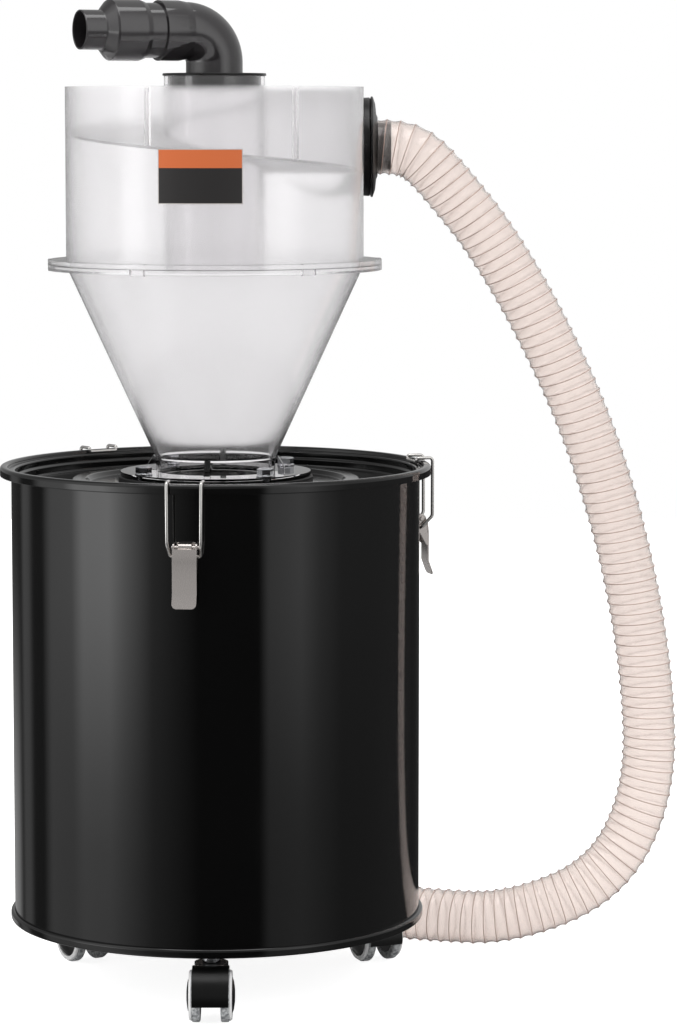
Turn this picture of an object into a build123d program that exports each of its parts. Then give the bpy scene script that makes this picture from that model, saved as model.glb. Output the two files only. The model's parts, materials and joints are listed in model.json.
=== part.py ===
import math
import os

from build123d import *

os.makedirs("parts", exist_ok=True)

# Driving sizes in millimetres. The floor is at zero and the drum stands on the Z axis.
drum_r = 190.0
base_z = 59.0
drum_h = 426.0
neck_r = 55.5
cone_r = 136.0
cone_h = 185.7
flange_w = 18.5
chamber_h = 163.3
tube_r = 46.5
tube_rise = 10.0
outlet_rise = 41.0
outlet_turn = 26.0
inlet_drop = 55.7
duct_inset = 0.6
roof_drop = 74.0
hose_r = 26.5
hose_wall = 3.0
castor_inset = 27.0
castor_trail = 20.0
wheel_r = 24.0

# Sheet and wall thicknesses, and the clearances that the fits share.
sheet = 1.0
clear_wall = 3.0
fit_gap = 0.3
run_gap = 0.05

# Heights and radii that follow from the sizes above.
rim_top = base_z + drum_h
rim_out = drum_r + 10.5
rim_in = drum_r - 4.0
bead_w = 7.5
bead_in = rim_out - bead_w
ledge_top = rim_top - 3.5
bead_round = 2.4
curl_top = rim_top - 5.5
panel_top = rim_top - 16.5
gasket_top = panel_top + 6.0
foot_top = gasket_top + 4.5
joint_z = rim_top + cone_h
chamber_top = joint_z + chamber_h
flange_r = cone_r + flange_w
chamber_r = cone_r + 1.6
chamber_in = chamber_r - clear_wall
duct_r = tube_r - 0.5
duct_in = duct_r - clear_wall
inlet_y = chamber_in - duct_r - duct_inset
inlet_z = chamber_top - inlet_drop
throat_r = neck_r - clear_wall
bolt_r = neck_r + 24.5
tube_top = chamber_top + tube_rise
outlet_z = tube_top + outlet_rise
base_panel = base_z + 5.0
castor_circle = drum_r - castor_inset

# The screws that hold the cone on the lid and the castors on the base are all of one size.
screw_r = 4.0
screw_hole = screw_r + fit_gap
hex_half = 6.5
nut_h = 6.5
bolt_turn = 36.0
bolts = 4
castor_turn = 270.0


def polar(radius, degrees, height):
    a = math.radians(degrees)
    return (radius * math.cos(a), radius * math.sin(a), height)


def upright(degrees):
    a = math.radians(degrees)
    return Plane(origin=(0, 0, 0), x_dir=(math.cos(a), math.sin(a), 0), z_dir=(math.sin(a), -math.cos(a), 0))


# The drum shell: a rolled cylinder with its mouth turned out into a flat curl.
curl_t = 3.0
with BuildPart() as drum_shell:
    with BuildSketch(Plane.XZ):
        with BuildLine():
            Polyline(
                (drum_r - sheet, base_z + sheet + fit_gap),
                (drum_r, base_z + sheet + fit_gap),
                (drum_r, curl_top - curl_t),
                (rim_out - sheet - fit_gap, curl_top - curl_t),
                (rim_out - sheet - fit_gap, curl_top),
                (drum_r - sheet, curl_top),
                close=True,
            )
        make_face()
    revolve(axis=Axis.Z)
drum_shell.part.label = "drum_shell"
export_step(drum_shell.part, "parts/drum_shell.step")

# The drum base: a recessed panel whose edge is folded round the foot of the shell as a chime.
chime_h = 14.0
chime_round = 1.4
chime_out = drum_r + 3.7
fold_in = drum_r - sheet - fit_gap
with BuildPart() as drum_base:
    with BuildSketch(Plane.XZ) as chime:
        with BuildLine():
            Polyline(
                (0, base_panel),
                (fold_in - 2 * sheet, base_panel),
                (fold_in - 2 * sheet, base_z),
                (chime_out, base_z),
                (chime_out, base_z + chime_h),
                (drum_r + fit_gap, base_z + chime_h),
                (drum_r + fit_gap, base_z + sheet),
                (fold_in, base_z + sheet),
                (fold_in, base_panel + sheet),
                (0, base_panel + sheet),
                close=True,
            )
        make_face()
        corners = chime.vertices().filter_by_position(Axis.X, chime_out - 0.01, chime_out + 0.01)
        fillet(corners, chime_round)
    revolve(axis=Axis.Z)
    with PolarLocations(castor_circle, 3, start_angle=castor_turn):
        Hole(screw_hole, depth=2 * base_panel)
drum_base.part.label = "drum_base"
export_step(drum_base.part, "parts/drum_base.step")

# The rubber seal inside the lid's bead, on the drum's mouth.
with BuildPart() as lid_seal:
    with BuildSketch(Plane.XY.offset(curl_top)):
        Circle(rim_out - bead_round - 0.1)
        Circle(bead_in + bead_round + 0.1, mode=Mode.SUBTRACT)
    extrude(amount=rim_top - sheet - curl_top)
lid_seal.part.label = "lid_seal"
export_step(lid_seal.part, "parts/lid_seal.step")

# The pressed lid: a beaded rim, a ledge inside it, a sunk channel, a raised ring and a flat panel.
channel_top = rim_top - 18.8
ring_top = panel_top + 4.0
ring_r = cone_r - 9.0
ring_half = 9.5
ring_slope = 3.0
skirt_low = rim_top - 9.0
hole_r = throat_r + 1.5
with BuildPart() as drum_lid:
    with BuildSketch(Plane.XZ) as pressing:
        with BuildLine():
            Polyline(
                (rim_out, skirt_low),
                (rim_out, rim_top),
                (bead_in, rim_top),
                (bead_in, ledge_top),
                (rim_in, ledge_top),
                (rim_in, channel_top),
                (ring_r + ring_half, channel_top),
                (ring_r + ring_half - ring_slope, ring_top),
                (ring_r - ring_half + ring_slope, ring_top),
                (ring_r - ring_half, panel_top),
                (hole_r, panel_top),
                (hole_r, panel_top - sheet),
                (ring_r - ring_half + 0.7 * sheet, panel_top - sheet),
                (ring_r - ring_half + ring_slope + 0.7 * sheet, ring_top - sheet),
                (ring_r + ring_half - ring_slope - 0.7 * sheet, ring_top - sheet),
                (ring_r + ring_half - 0.7 * sheet, channel_top - sheet),
                (rim_in + sheet, channel_top - sheet),
                (rim_in + sheet, ledge_top - sheet),
                (bead_in + sheet, ledge_top - sheet),
                (bead_in + sheet, rim_top - sheet),
                (rim_out - sheet, rim_top - sheet),
                (rim_out - sheet, skirt_low),
                close=True,
            )
        make_face()
        crown = pressing.vertices().filter_by_position(Axis.Y, rim_top - 0.01, rim_top + 0.01)
        fillet(crown, bead_round)
        under = pressing.vertices().filter_by_position(Axis.Y, rim_top - sheet - 0.01, rim_top - sheet + 0.01)
        fillet(under, bead_round - sheet)
    revolve(axis=Axis.Z)
    with PolarLocations(bolt_r, bolts, start_angle=bolt_turn):
        Hole(screw_hole, depth=rim_top)
drum_lid.part.label = "drum_lid"
export_step(drum_lid.part, "parts/drum_lid.step")

# The black gasket between the lid's panel and the foot of the cone.
gasket_r = bolt_r + 10.5
with BuildPart() as neck_gasket:
    with BuildSketch(Plane.XY.offset(panel_top)):
        Circle(gasket_r)
        Circle(hole_r, mode=Mode.SUBTRACT)
        with PolarLocations(bolt_r, bolts, start_angle=bolt_turn):
            Circle(screw_hole, mode=Mode.SUBTRACT)
    extrude(amount=gasket_top - panel_top)
neck_gasket.part.label = "neck_gasket"
export_step(neck_gasket.part, "parts/neck_gasket.step")

# The clear cone: foot flange with four gussets, straight neck, cone and top flange with six notches.
flange_t = 4.7
foot_r = gasket_r - 2.0
neck_top = foot_top + 12.0
gusset_turn = 84.5
gusset_half = 2.8
gusset_w = 9.0
lug_turn = 5.0
lugs = 6
lug_w = 13.0
lug_d = 3.6
notch_d = lug_d + 0.9
lug_angles = [lug_turn + 360 / lugs * i for i in range(lugs)]
with BuildPart() as cone:
    with BuildSketch(Plane.XZ):
        with BuildLine():
            Polyline(
                (throat_r, gasket_top),
                (foot_r, gasket_top),
                (foot_r, foot_top),
                (neck_r, foot_top),
                (neck_r, neck_top),
                (cone_r, joint_z - flange_t),
                (flange_r, joint_z - flange_t),
                (flange_r, joint_z),
                (cone_r - clear_wall, joint_z),
                (cone_r - clear_wall, joint_z - flange_t + 1.5),
                (throat_r, neck_top + 2.0),
                close=True,
            )
        make_face()
    revolve(axis=Axis.Z)
    with BuildSketch(Plane.XY.offset(gasket_top)):
        with PolarLocations(bolt_r, bolts, start_angle=bolt_turn):
            Circle(screw_hole)
    extrude(amount=foot_top - gasket_top, mode=Mode.SUBTRACT)
    for i in range(4):
        with BuildSketch(upright(gusset_turn + 90 * i)):
            with BuildLine():
                Polyline(
                    (neck_r - 1.0, foot_top - 0.5),
                    (neck_r + gusset_w, foot_top - 0.5),
                    (neck_r + gusset_w, foot_top + 4.0),
                    (neck_r + gusset_w / 3, neck_top + 2.0),
                    (neck_r - 1.0, neck_top - 1.0),
                    close=True,
                )
            make_face()
        extrude(amount=gusset_half, both=True)
    for a in lug_angles:
        with Locations(Location(polar(flange_r, a, joint_z - flange_t / 2), (0, 0, a))):
            Box(2 * notch_d, lug_w + 1.0, flange_t + 2, mode=Mode.SUBTRACT)
cone.part.label = "cone"
export_step(cone.part, "parts/cone.step")

# The clear cyclone chamber: wall and flange, tangential inlet duct and six lugs.
duct_end = chamber_r + 0.5
with BuildPart() as cyclone_chamber:
    with Locations((duct_end / 2, inlet_y, inlet_z)):
        Cylinder(duct_r, duct_end, rotation=(0, 90, 0))
    with Locations((0, 0, (joint_z + chamber_top) / 2)):
        Cylinder(chamber_r, chamber_h)
    with Locations((0, 0, joint_z + flange_t / 2)):
        Cylinder(flange_r, flange_t)
    with Locations((0, 0, (joint_z + chamber_top) / 2)):
        Cylinder(chamber_in, chamber_h + 2, mode=Mode.SUBTRACT)
    with Locations((duct_end / 2 + 1, inlet_y, inlet_z)):
        Cylinder(duct_in, duct_end + 4, rotation=(0, 90, 0), mode=Mode.SUBTRACT)
    for a in lug_angles:
        with Locations(Location(polar(flange_r - 2.3, a, joint_z), (0, 0, a))):
            Box(lug_d, lug_w, 2 * flange_t + 1.6)
cyclone_chamber.part.label = "cyclone_chamber"
export_step(cyclone_chamber.part, "parts/cyclone_chamber.step")

# The clear spiral roof, fitted inside the wall: one falling turn, closed by an upright step.
roof_t = 2.5
step_t = 4.0
step_inset = 0.2
roof_low = chamber_top - 4.0 - roof_drop
roof_in = tube_r + fit_gap
roof_out = chamber_in - fit_gap
roof_mid = (roof_in + roof_out) / 2
with BuildPart() as spiral_roof:
    with BuildLine() as spiral:
        Helix(pitch=roof_drop, height=roof_drop, radius=roof_mid, center=(0, 0, roof_low), lefthand=True)
    with BuildSketch(Plane(origin=spiral.line @ 0, x_dir=(1, 0, 0), z_dir=spiral.line % 0)):
        Rectangle(roof_out - roof_in, roof_t)
    sweep(path=spiral.line, is_frenet=True)
    with Locations((roof_mid, 0, roof_low + roof_drop / 2)):
        Box(roof_out - roof_in - 2 * step_inset, step_t, roof_drop + roof_t)
spiral_roof.part.label = "spiral_roof"
export_step(spiral_roof.part, "parts/spiral_roof.step")

# Five clear ribs up the inside of the wall, each standing on the roof.
rib_w = 6.0
rib_t = 3.0
rib_r = chamber_in - fit_gap - rib_w / 2
with BuildPart() as roof_ribs:
    for a in lug_angles[1:]:
        rib_foot = roof_low + roof_drop * (1 - a / 360) + roof_t / 2 + fit_gap
        rib_h = chamber_top - 2.0 - rib_foot
        with Locations(Location(polar(rib_r, a, rib_foot + rib_h / 2), (0, 0, a))):
            Box(rib_w, rib_t, rib_h)
roof_ribs.part.label = "roof_ribs"
export_step(roof_ribs.part, "parts/roof_ribs.step")

# The clear vortex tube that hangs through the spiral roof.
tube_low = joint_z - 6.0
with BuildPart() as vortex_tube:
    with BuildSketch(Plane.XY.offset(tube_low)):
        Circle(tube_r)
        Circle(tube_r - clear_wall, mode=Mode.SUBTRACT)
    extrude(amount=tube_top - tube_low)
vortex_tube.part.label = "vortex_tube"
export_step(vortex_tube.part, "parts/vortex_tube.step")

# The black outlet cap: a plug in the tube's mouth under a thin plate, bored for the elbow.
pipe_r = 25.0
pipe_in = pipe_r - 2.4
elbow_r = pipe_r + 1.2
plug_h = 12.0
cap_t = 2.4
with BuildPart() as outlet_cap:
    with BuildSketch(Plane.XY.offset(tube_top - plug_h)):
        Circle(tube_r - clear_wall - fit_gap)
        Circle(elbow_r + fit_gap, mode=Mode.SUBTRACT)
    extrude(amount=plug_h)
    with BuildSketch(Plane.XY.offset(tube_top)):
        Circle(tube_r + 1.3)
        Circle(elbow_r + fit_gap, mode=Mode.SUBTRACT)
    extrude(amount=cap_t)
outlet_cap.part.label = "outlet_cap"
export_step(outlet_cap.part, "parts/outlet_cap.step")

# The outlet elbow. Its socket tapers out of the bend and takes the stub of pipe.
socket_r = pipe_r + fit_gap
fitting_r = pipe_r + 2.6
bend_r = elbow_r + 2.8
bend_end = bend_r + 5.0
socket_end = bend_end + 22.5
arm = upright(outlet_turn)
arm_axis = Axis((0, 0, outlet_z), polar(-1, outlet_turn, 0))
with BuildPart() as elbow:
    with BuildLine(arm) as bend:
        FilletPolyline((0, tube_top - plug_h + 3.0), (0, outlet_z), (-bend_end, outlet_z), radius=bend_r)
    with BuildSketch(Plane(origin=bend.line @ 0, z_dir=(0, 0, 1))):
        Circle(elbow_r)
        Circle(pipe_in, mode=Mode.SUBTRACT)
    sweep(path=bend.line)
    with BuildSketch(arm):
        with BuildLine():
            Polyline(
                (-bend_r - 0.5, outlet_z + socket_r),
                (-bend_r - 0.5, outlet_z + elbow_r + 0.1),
                (-bend_end - 3.0, outlet_z + fitting_r),
                (-socket_end, outlet_z + fitting_r),
                (-socket_end, outlet_z + socket_r),
                close=True,
            )
        make_face()
    revolve(axis=arm_axis)
elbow.part.label = "elbow"
export_step(elbow.part, "parts/elbow.step")

# The stub of pipe between the elbow's socket and the reducer's.
stub_start = bend_end + 0.5
reducer_start = socket_end + 15.0
stub_end = reducer_start + 15.5
with BuildPart() as pipe_stub:
    with BuildSketch(arm):
        with Locations((-(stub_start + stub_end) / 2, outlet_z + (pipe_r + pipe_in) / 2)):
            Rectangle(stub_end - stub_start, pipe_r - pipe_in)
    revolve(axis=arm_axis)
pipe_stub.part.label = "pipe_stub"
export_step(pipe_stub.part, "parts/pipe_stub.step")

# The reducer: a socket over the stub, a conical face and the thin nozzle for the vacuum's hose.
nozzle_r = 18.0
nozzle_in = nozzle_r - 1.6
body_end = reducer_start + 33.0
face_end = body_end + 8.0
nozzle_end = face_end + 21.0
with BuildPart() as reducer:
    with BuildSketch(arm):
        with BuildLine():
            Polyline(
                (-reducer_start, outlet_z + socket_r),
                (-reducer_start, outlet_z + pipe_r + 1.0),
                (-reducer_start - 5.0, outlet_z + fitting_r + 0.2),
                (-body_end, outlet_z + fitting_r + 0.2),
                (-body_end - 1.5, outlet_z + fitting_r - 1.0),
                (-face_end, outlet_z + nozzle_r + 1.0),
                (-face_end - 1.0, outlet_z + nozzle_r),
                (-nozzle_end, outlet_z + nozzle_r),
                (-nozzle_end, outlet_z + nozzle_in),
                (-face_end + 2.5, outlet_z + nozzle_in),
                (-body_end + 2.5, outlet_z + pipe_in),
                (-stub_end - 0.5, outlet_z + pipe_in),
                (-stub_end - 0.5, outlet_z + socket_r),
                close=True,
            )
        make_face()
    revolve(axis=arm_axis)
reducer.part.label = "reducer"
export_step(reducer.part, "parts/reducer.step")

# The black inlet flange: a plug in the duct's mouth, two stepped discs, a hub and the hose spigot.
spigot_r = hose_r - hose_wall - fit_gap
spigot_in = spigot_r - 2.6
plug_l = 10.0
disc_face = duct_end + 11.0
disc_r = duct_r + 1.4
spigot_end = disc_face + 15.0
inlet_axis = Axis((0, inlet_y, inlet_z), (1, 0, 0))
inlet_plane = Plane(origin=(0, inlet_y, inlet_z), x_dir=(1, 0, 0), z_dir=(0, -1, 0))
with BuildPart() as inlet_flange:
    with BuildSketch(inlet_plane):
        with BuildLine():
            Polyline(
                (duct_end - plug_l, spigot_in),
                (duct_end - plug_l, duct_in - fit_gap),
                (duct_end, duct_in - fit_gap),
                (duct_end, duct_r + 0.2),
                (disc_face - 5.4, duct_r + 0.5),
                (disc_face - 4.8, duct_r - 0.9),
                (disc_face - 4.2, disc_r),
                (disc_face - 2.4, disc_r),
                (disc_face, disc_r - 7.0),
                (disc_face + 1.0, hose_r + 4.0),
                (disc_face + 2.2, hose_r + 1.5),
                (disc_face + 2.2, spigot_r),
                (spigot_end, spigot_r),
                (spigot_end, spigot_in),
                close=True,
            )
        make_face()
    revolve(axis=inlet_axis)
inlet_flange.part.label = "inlet_flange"
export_step(inlet_flange.part, "parts/inlet_flange.step")

# The hose: from the spigot out to the right, down to the floor and round behind the drum.
hose_start = disc_face + 2.5
hose_low = hose_r + 0.4
hose_points = [
    (hose_start, inlet_y, inlet_z),
    (hose_start + 24, inlet_y, inlet_z),
    (hose_start + 46, inlet_y + 1, inlet_z - 13),
    (hose_start + 70.5, inlet_y + 3, inlet_z - 41),
    (258, 95, 693),
    (303, 102, 619),
    (353, 111, 514),
    (391, 119, 394),
    (414.5, 126, 269),
    (419, 130, 154),
    (378, 128, 66),
    (283, 122, hose_low),
    (200, 140, hose_low),
    (128, 178, hose_low),
    (58, 198, hose_low),
    (-15, 207, hose_low),
    (-90, 205, hose_low),
    (-160, 190, hose_low),
]
hose_corners = [Vector(p) for p in hose_points]
hose_radii = []
for before, here, after in zip(hose_corners, hose_corners[1:], hose_corners[2:]):
    half_turn = math.radians((here - before).get_angle(after - here)) / 2
    shorter = min((here - before).length, (after - here).length)
    hose_radii.append(0.45 * shorter / math.tan(half_turn))
print("hose radii", [round(r) for r in hose_radii])
with BuildPart() as hose:
    with BuildLine() as hose_line:
        FilletPolyline(*hose_points, radius=hose_radii)
    with BuildSketch(Plane(origin=hose_line.line @ 0, z_dir=hose_line.line % 0)):
        Circle(hose_r)
        Circle(hose_r - hose_wall, mode=Mode.SUBTRACT)
    sweep(path=hose_line.line)
hose_length = hose_line.wires()[0].length
hose_section = math.pi * (hose_r**2 - (hose_r - hose_wall) ** 2)
print("hose length", round(hose_length), "volume ratio", hose.part.volume / hose_section / hose_length)
hose.part.label = "hose"
export_step(hose.part, "parts/hose.step")

# The blank label on the front of the chamber.
label_z = joint_z + 83.0
label_turn = 266.4
label_w = 76.0
label_h = 49.0
label_t = 0.4
with BuildPart() as blank_label:
    with Locations((0, 0, label_z)):
        Cylinder(chamber_r + fit_gap + label_t, label_h)
        Cylinder(chamber_r + fit_gap, label_h, mode=Mode.SUBTRACT)
    with Locations(Location(polar(chamber_r, label_turn, label_z), (0, 0, label_turn))):
        Box(chamber_r, label_w, label_h + 10, mode=Mode.INTERSECT)
blank_label.part.label = "blank_label"
export_step(blank_label.part, "parts/blank_label.step")

# The four flanged hex screws of the neck, and their nuts under the lid.
washer_r = 8.0
washer_t = 2.2
head_h = 6.0
screw_low = panel_top - sheet - nut_h - 8.5
with BuildPart() as neck_screws:
    with BuildSketch(Plane.XY.offset(screw_low)):
        with PolarLocations(bolt_r, bolts, start_angle=bolt_turn):
            Circle(screw_r)
    extrude(amount=foot_top - screw_low)
    with BuildSketch(Plane.XY.offset(foot_top)):
        with PolarLocations(bolt_r, bolts, start_angle=bolt_turn):
            Circle(washer_r)
    extrude(amount=washer_t)
    with BuildSketch(Plane.XY.offset(foot_top + washer_t)):
        with PolarLocations(bolt_r, bolts, start_angle=bolt_turn):
            RegularPolygon(hex_half, 6, major_radius=False)
    extrude(amount=head_h)
neck_screws.part.label = "neck_screws"
export_step(neck_screws.part, "parts/neck_screws.step")

with BuildPart() as neck_nuts:
    with BuildSketch(Plane.XY.offset(panel_top - sheet - nut_h)):
        with PolarLocations(bolt_r, bolts, start_angle=bolt_turn):
            RegularPolygon(hex_half, 6, major_radius=False)
            Circle(screw_r + run_gap, mode=Mode.SUBTRACT)
    extrude(amount=nut_h)
neck_nuts.part.label = "neck_nuts"
export_step(neck_nuts.part, "parts/neck_nuts.step")

# Three toggle latches. Each has a bracket on the shell, a lever on a pin and a wire bail over the rim.
latches = {"front": 264.0, "right": 15.0, "left": 127.0}
hinge_r = drum_r + 7.0
hinge_z = rim_top - 56.0
bail_r = hinge_r - 1.5
bail_z = hinge_z - 8.0
wire_r = 1.5
pin_r = 2.0
knuckle_r = 4.2
knuckle_half = 6.0
bracket_t = 1.5
bracket_w = 16.6
bracket_h = 44.0
ear_t = 1.4
lever_half = 10.9
lever_t = 1.5
ear_mid = lever_half - ear_t / 2
lip_round = 4.5
leg_r = rim_out + wire_r + 4.0
over_z = rim_top + wire_r + 0.6
cross_r = bead_in - wire_r - 0.9
cross_z = ledge_top + wire_r + 0.3
leg_half = 15.4
foot_half = 13.8
with BuildPart() as latch_pins:
    for angle in latches.values():
        with Locations(Location(polar(hinge_r, angle, hinge_z), (0, 0, angle))):
            Cylinder(pin_r, 2 * lever_half + 2.8, rotation=(90, 0, 0))
latch_pins.part.label = "latch_pins"
export_step(latch_pins.part, "parts/latch_pins.step")

for side, angle in latches.items():
    bracket_z = hinge_z + knuckle_r - bracket_h / 2
    with BuildPart() as bracket:
        with Locations((0, 0, bracket_z)):
            Cylinder(drum_r + fit_gap + bracket_t, bracket_h)
            Cylinder(drum_r + fit_gap, bracket_h, mode=Mode.SUBTRACT)
        with Locations(Location(polar(drum_r, angle, bracket_z), (0, 0, angle))):
            Box(20.0, bracket_w, bracket_h, mode=Mode.INTERSECT)
        with BuildSketch(upright(angle)):
            with Locations((hinge_r, hinge_z)):
                Circle(knuckle_r)
            with Locations(((hinge_r + drum_r + 1.0) / 2, hinge_z + knuckle_r - bracket_t / 2)):
                Rectangle(hinge_r - drum_r - 1.0, bracket_t)
            with Locations((hinge_r, hinge_z)):
                Circle(pin_r + run_gap, mode=Mode.SUBTRACT)
        extrude(amount=knuckle_half, both=True)
    bracket.part.label = "latch_bracket_" + side
    export_step(bracket.part, "parts/latch_bracket_" + side + ".step")

    with BuildPart() as lever:
        with BuildSketch(upright(angle)):
            with BuildLine():
                Polyline(
                    (hinge_r + 4.7, hinge_z - 1.4),
                    (hinge_r + 5.9, hinge_z - 0.8),
                    (hinge_r + 5.7 + lever_t, hinge_z - 12.0),
                    (hinge_r + 5.7 + lever_t, hinge_z - 40.0),
                    (hinge_r + 11.9, hinge_z - 53.2),
                    (hinge_r + 10.6, hinge_z - 53.7),
                    (hinge_r + 5.7, hinge_z - 40.3),
                    (hinge_r + 5.7, hinge_z - 12.0),
                    close=True,
                )
            make_face()
        extrude(amount=lever_half, both=True)
        lip = lever.edges().filter_by(GeomType.LINE).sort_by(Axis.Z)[1:3]
        fillet(lip, lip_round)
        for t in (-ear_mid, ear_mid):
            with BuildSketch(upright(angle).offset(t)):
                with Locations((hinge_r, hinge_z)):
                    Circle(knuckle_r)
                with Locations((bail_r, bail_z)):
                    Circle(wire_r + 1.4)
                with Locations((hinge_r + 5.6, hinge_z - 24.0)):
                    Circle(1.2)
                make_hull()
                with Locations((hinge_r, hinge_z)):
                    Circle(pin_r + run_gap, mode=Mode.SUBTRACT)
                with Locations((bail_r, bail_z)):
                    Circle(wire_r + run_gap, mode=Mode.SUBTRACT)
            extrude(amount=ear_t / 2, both=True)
    lever.part.label = "latch_lever_" + side
    export_step(lever.part, "parts/latch_lever_" + side + ".step")

    half_wire = [
        (bail_r, ear_mid - 0.6, bail_z),
        (bail_r, foot_half, bail_z),
        (leg_r, leg_half - 0.4, bail_z + 11.0),
        (leg_r, leg_half, over_z),
        (cross_r, leg_half, over_z),
        (cross_r, leg_half, cross_z),
    ]
    wire_path = half_wire + [(r, -t, z) for r, t, z in reversed(half_wire)]
    wire_bends = [2.4, 6.0, 3.2, 1.7, 1.7]
    a = math.radians(angle)
    wire_points = [
        (r * math.cos(a) - t * math.sin(a), r * math.sin(a) + t * math.cos(a), z) for r, t, z in wire_path
    ]
    with BuildPart() as bail:
        with BuildLine() as wire:
            FilletPolyline(*wire_points, radius=wire_bends + wire_bends[::-1])
        with BuildSketch(Plane(origin=wire.line @ 0, z_dir=wire.line % 0)):
            Circle(wire_r)
        sweep(path=wire.line)
    bail.part.label = "latch_bail_" + side
    export_step(bail.part, "parts/latch_bail_" + side + ".step")

# Three hooded twin-wheel castors. The stems and their nuts stay with the drum; the hoods swivel.
collar_top = base_z - 9.0
stem_l = 22.0
stem_low = collar_top - stem_l
shoulder_r = 8.0
with BuildPart() as castor_stems:
    with BuildSketch(Plane.XY.offset(stem_low)):
        with PolarLocations(castor_circle, 3, start_angle=castor_turn):
            Circle(screw_r)
    extrude(amount=base_panel + sheet + nut_h + 2.5 - stem_low)
    with BuildSketch(Plane.XY.offset(collar_top + fit_gap)):
        with PolarLocations(castor_circle, 3, start_angle=castor_turn):
            Circle(shoulder_r)
    extrude(amount=base_panel - collar_top - fit_gap)
castor_stems.part.label = "castor_stems"
export_step(castor_stems.part, "parts/castor_stems.step")

with BuildPart() as castor_nuts:
    with BuildSketch(Plane.XY.offset(base_panel + sheet)):
        with PolarLocations(castor_circle, 3, start_angle=castor_turn):
            RegularPolygon(hex_half, 6, major_radius=False)
            Circle(screw_r + run_gap, mode=Mode.SUBTRACT)
    extrude(amount=nut_h)
castor_nuts.part.label = "castor_nuts"
export_step(castor_nuts.part, "parts/castor_nuts.step")

# Across a castor, sizes are measured from its middle: web, hub, tread, trim ring and domed cap.
web_half = 4.0
hub_near = 6.0
tread_near = 9.2
tread_far = 17.0
trim_far = 19.4
cap_far = 21.8
hood_half = 16.5
hood_out = wheel_r + 2.6
hood_in = wheel_r + 1.0
skirt_drop = 5.3
collar_r = hood_half - 1.2
collar_h = 20.0
axle_r = 2.5
axle_half = 16.0
hub_r = 5.0
tyre_in = wheel_r - 6.7
cap_r = tyre_in + 0.9
castors = {"front": (270.0, 270.0), "left": (150.0, 302.0), "right": (30.0, 295.0)}
for side, (stem_angle, trail_angle) in castors.items():
    place = Location(polar(castor_circle, stem_angle, 0), (0, 0, trail_angle))
    with BuildPart() as hood:
        with Locations(place):
            with Locations((castor_trail, 0, wheel_r)):
                Cylinder(hood_out, 2 * hood_half, rotation=(90, 0, 0))
            with Locations((castor_trail, 0, wheel_r - skirt_drop - hood_out)):
                Box(4 * hood_out, 4 * hood_half, 2 * hood_out, mode=Mode.SUBTRACT)
            with Locations((castor_trail - hood_out - 14.0, 0, wheel_r)):
                Box(2 * hood_out, 4 * hood_half, 4 * hood_out, mode=Mode.SUBTRACT)
            with Locations((0, 0, collar_top - collar_h / 2)):
                Cylinder(collar_r, collar_h)
            with Locations((castor_trail, 0, wheel_r)):
                Cylinder(hood_in, 2 * hood_half + 2, rotation=(90, 0, 0), mode=Mode.SUBTRACT)
            with Locations((castor_trail / 2 + 1.0, 0, wheel_r + (hood_in + 0.6 - skirt_drop) / 2)):
                Box(castor_trail + 12.0, 2 * web_half, hood_in + 0.6 + skirt_drop)
            with Locations((0, 0, collar_top - collar_h / 2)):
                Cylinder(screw_r + 3.2, collar_h)
            with Locations((0, 0, collar_top - stem_l / 2)):
                Cylinder(screw_r + run_gap, stem_l + 2.0, mode=Mode.SUBTRACT)
            with Locations((castor_trail, 0, wheel_r)):
                Cylinder(axle_r + run_gap, 4 * hood_half, rotation=(90, 0, 0), mode=Mode.SUBTRACT)
    hood.part.label = "castor_hood_" + side
    export_step(hood.part, "parts/castor_hood_" + side + ".step")

    with BuildPart() as axle:
        with Locations(place):
            with Locations((castor_trail, 0, wheel_r)):
                Cylinder(axle_r, 2 * axle_half, rotation=(90, 0, 0))
    axle.part.label = "castor_axle_" + side
    export_step(axle.part, "parts/castor_axle_" + side + ".step")

    for hand, s in (("a", 1), ("b", -1)):
        with BuildPart() as wheel:
            with Locations(place):
                with Locations((castor_trail, s * (hub_near + tread_far) / 2, wheel_r)):
                    Cylinder(hub_r, tread_far - hub_near, rotation=(90, 0, 0))
                with Locations((castor_trail, s * (tread_near + tread_far) / 2, wheel_r)):
                    Cylinder(tyre_in - fit_gap, tread_far - tread_near, rotation=(90, 0, 0))
                with Locations((castor_trail, s * (tread_far + cap_far) / 2, wheel_r)):
                    Cone(cap_r, cap_r - 8.9, cap_far - tread_far, rotation=(-90 * s, 0, 0))
                with Locations((castor_trail, s * axle_half / 2, wheel_r)):
                    Cylinder(axle_r + run_gap, axle_half + 1.6, rotation=(90, 0, 0), mode=Mode.SUBTRACT)
        wheel.part.label = "castor_wheel_" + side + "_" + hand
        export_step(wheel.part, "parts/castor_wheel_" + side + "_" + hand + ".step")

        with BuildPart() as tyre:
            with Locations(place):
                with Locations((castor_trail, s * (tread_near + tread_far) / 2, wheel_r)):
                    Cylinder(wheel_r, tread_far - tread_near, rotation=(90, 0, 0))
                    Cylinder(tyre_in, tread_far, rotation=(90, 0, 0), mode=Mode.SUBTRACT)
        tyre.part.label = "castor_tyre_" + side + "_" + hand
        export_step(tyre.part, "parts/castor_tyre_" + side + "_" + hand + ".step")

        with BuildPart() as trim:
            with Locations(place):
                with Locations((castor_trail, s * (tread_far + trim_far) / 2, wheel_r)):
                    Cone(wheel_r - 0.8, wheel_r - 2.2, trim_far - tread_far, rotation=(-90 * s, 0, 0))
                    Cylinder(cap_r + fit_gap, tread_far, rotation=(90, 0, 0), mode=Mode.SUBTRACT)
        trim.part.label = "castor_trim_" + side + "_" + hand
        export_step(trim.part, "parts/castor_trim_" + side + "_" + hand + ".step")
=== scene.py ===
"""The looks of a cyclone dust separator: a clear cyclone on a black steel drum on three castors."""

import json
import math

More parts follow.
